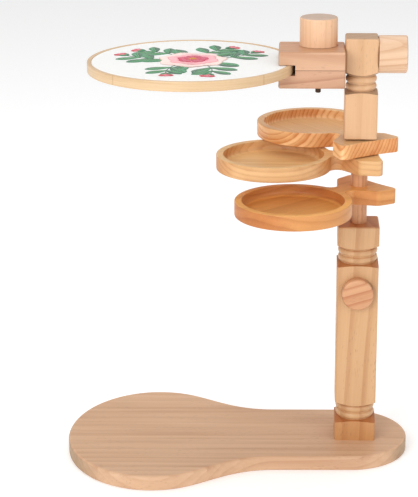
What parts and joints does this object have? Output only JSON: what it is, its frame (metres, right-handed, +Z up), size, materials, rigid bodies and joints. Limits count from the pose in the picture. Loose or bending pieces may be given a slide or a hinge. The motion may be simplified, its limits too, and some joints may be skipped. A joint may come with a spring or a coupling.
{
  "type": "embroidery hoop on stand",
  "caption": "Table stand for an embroidery hoop: keyhole base, height-adjustable post, swinging dish trays, and a tilting screw clamp that grips a round hoop with stretched cloth.",
  "frame": {"origin": "on the post axis, at the underside of the base board", "axes": "+Z up along the post, the base lobe and the hoop reach out along -X, the height lock knob faces -Y"},
  "size_m": [0.3819, 0.2651, 0.4908],
  "materials": {
    "base_wood": "oiled",
    "post_wood": "oiled",
    "knob_wood": "oiled",
    "dowel_wood": "sanded",
    "tray_wood": "oiled",
    "jaw_wood": "oiled",
    "hoop_bamboo": "smooth",
    "washer_fibre": "matt",
    "screw_steel": "zinc",
    "bolt_steel": "dark",
    "insert_brass": "turned",
    "closure_brass": "polished",
    "ring_rubber": "matt",
    "cloth_white": "plain weave"
  },
  "bodies": {
    "stand": {"base_board": "base_wood", "base_screws": "screw_steel", "lower_post": "post_wood", "height_lock_insert": "insert_brass"},
    "height_lock": {"height_lock_knob": "knob_wood", "height_lock_bolt": "bolt_steel"},
    "spindle_drag": {"spindle_ring": "ring_rubber"},
    "mast": {"spindle": "dowel_wood", "upper_post": "post_wood", "post_washer": "washer_fibre", "upper_tray_ring": "ring_rubber"},
    "upper_dish": {"upper_tray": "tray_wood"},
    "middle_grip": {"middle_tray_ring": "ring_rubber"},
    "middle_dish": {"middle_tray": "tray_wood"},
    "lower_grip": {"lower_tray_ring": "ring_rubber"},
    "lower_dish": {"lower_tray": "tray_wood"},
    "tilt_lock": {"tilt_knob": "knob_wood", "tilt_washer": "bolt_steel", "tilt_bolt": "bolt_steel"},
    "clamp_head": {"upper_jaw": "jaw_wood", "tilt_insert": "insert_brass"},
    "clamp_lock": {"clamp_knob": "knob_wood", "clamp_washer": "bolt_steel", "clamp_bolt": "bolt_steel"},
    "clamp_foot": {"lower_jaw": "jaw_wood", "clamp_insert": "insert_brass", "jaw_guide_pins": "bolt_steel"},
    "hoop": {"hoop_outer_ring": "hoop_bamboo", "hoop_brackets": "closure_brass", "hoop_nut": "closure_brass"},
    "hoop_inside": {"hoop_inner_ring": "hoop_bamboo", "hoop_cloth": "cloth_white"},
    "hoop_lock": {"hoop_screw": "closure_brass"}
  },
  "joints": [
    {"name": "height_slide", "type": "slide", "parent": "stand", "child": "spindle_drag", "axis": [0, 0, 1], "range_m": [-0.025, 0.075]},
    {"name": "mast_swivel", "type": "hinge", "parent": "spindle_drag", "child": "mast", "pos_m": [0, 0, 0.2], "axis": [0, 0, 1], "continuous": true},
    {"name": "upper_tray_swivel", "type": "hinge", "parent": "mast", "child": "upper_dish", "pos_m": [0, 0, 0.3525], "axis": [0, 0, 1], "continuous": true},
    {"name": "middle_tray_slide", "type": "slide", "parent": "mast", "child": "middle_grip", "axis": [0, 0, 1], "range_m": [-0.0175, 0]},
    {"name": "middle_tray_swivel", "type": "hinge", "parent": "middle_grip", "child": "middle_dish", "pos_m": [0, 0, 0.335], "axis": [0, 0, 1], "continuous": true},
    {"name": "lower_tray_slide", "type": "slide", "parent": "mast", "child": "lower_grip", "axis": [0, 0, 1], "range_m": [0, 0.0175]},
    {"name": "lower_tray_swivel", "type": "hinge", "parent": "lower_grip", "child": "lower_dish", "pos_m": [0, 0, 0.2995], "axis": [0, 0, 1], "continuous": true},
    {"name": "height_lock_turn", "type": "hinge", "parent": "stand", "child": "height_lock", "pos_m": [0, -0.0225, 0.192], "axis": [0, -1, 0], "range_deg": [0, 720]},
    {"name": "clamp_tilt", "type": "hinge", "parent": "mast", "child": "clamp_head", "pos_m": [-0.0178, 0, 0.451], "axis": [1, 0, 0], "range_deg": [-70, 55]},
    {"name": "tilt_lock_turn", "type": "hinge", "parent": "mast", "child": "tilt_lock", "pos_m": [0.0178, 0, 0.451], "axis": [1, 0, 0], "range_deg": [0, 720]},
    {"name": "clamp_lock_turn", "type": "hinge", "parent": "clamp_head", "child": "clamp_lock", "pos_m": [-0.0456, 0, 0.4608], "axis": [0, 0, 1], "range_deg": [0, 1080]},
    {"name": "jaw_opening", "type": "slide", "parent": "clamp_head", "child": "clamp_foot", "axis": [0, 0, -1], "range_m": [0, 0.003]},
    {"name": "hoop_withdraw", "type": "slide", "parent": "clamp_foot", "child": "hoop", "axis": [-1, 0, 0], "range_m": [0, 0.04]},
    {"name": "inner_ring_turn", "type": "hinge", "parent": "hoop", "child": "hoop_inside", "pos_m": [-0.1802, -0.01, 0.44125], "axis": [0, 0, 1], "continuous": true},
    {"name": "hoop_screw_turn", "type": "hinge", "parent": "hoop", "child": "hoop_lock", "pos_m": [-0.07866, 0.04399, 0.44125], "axis": [-0.4695, 0.8829, 0], "range_deg": [0, 1080]}
  ],
  "couplings": [
    {"joint": "clamp_lock_turn", "follows": "jaw_opening", "rad_per_m": 6283.2}
  ]
}
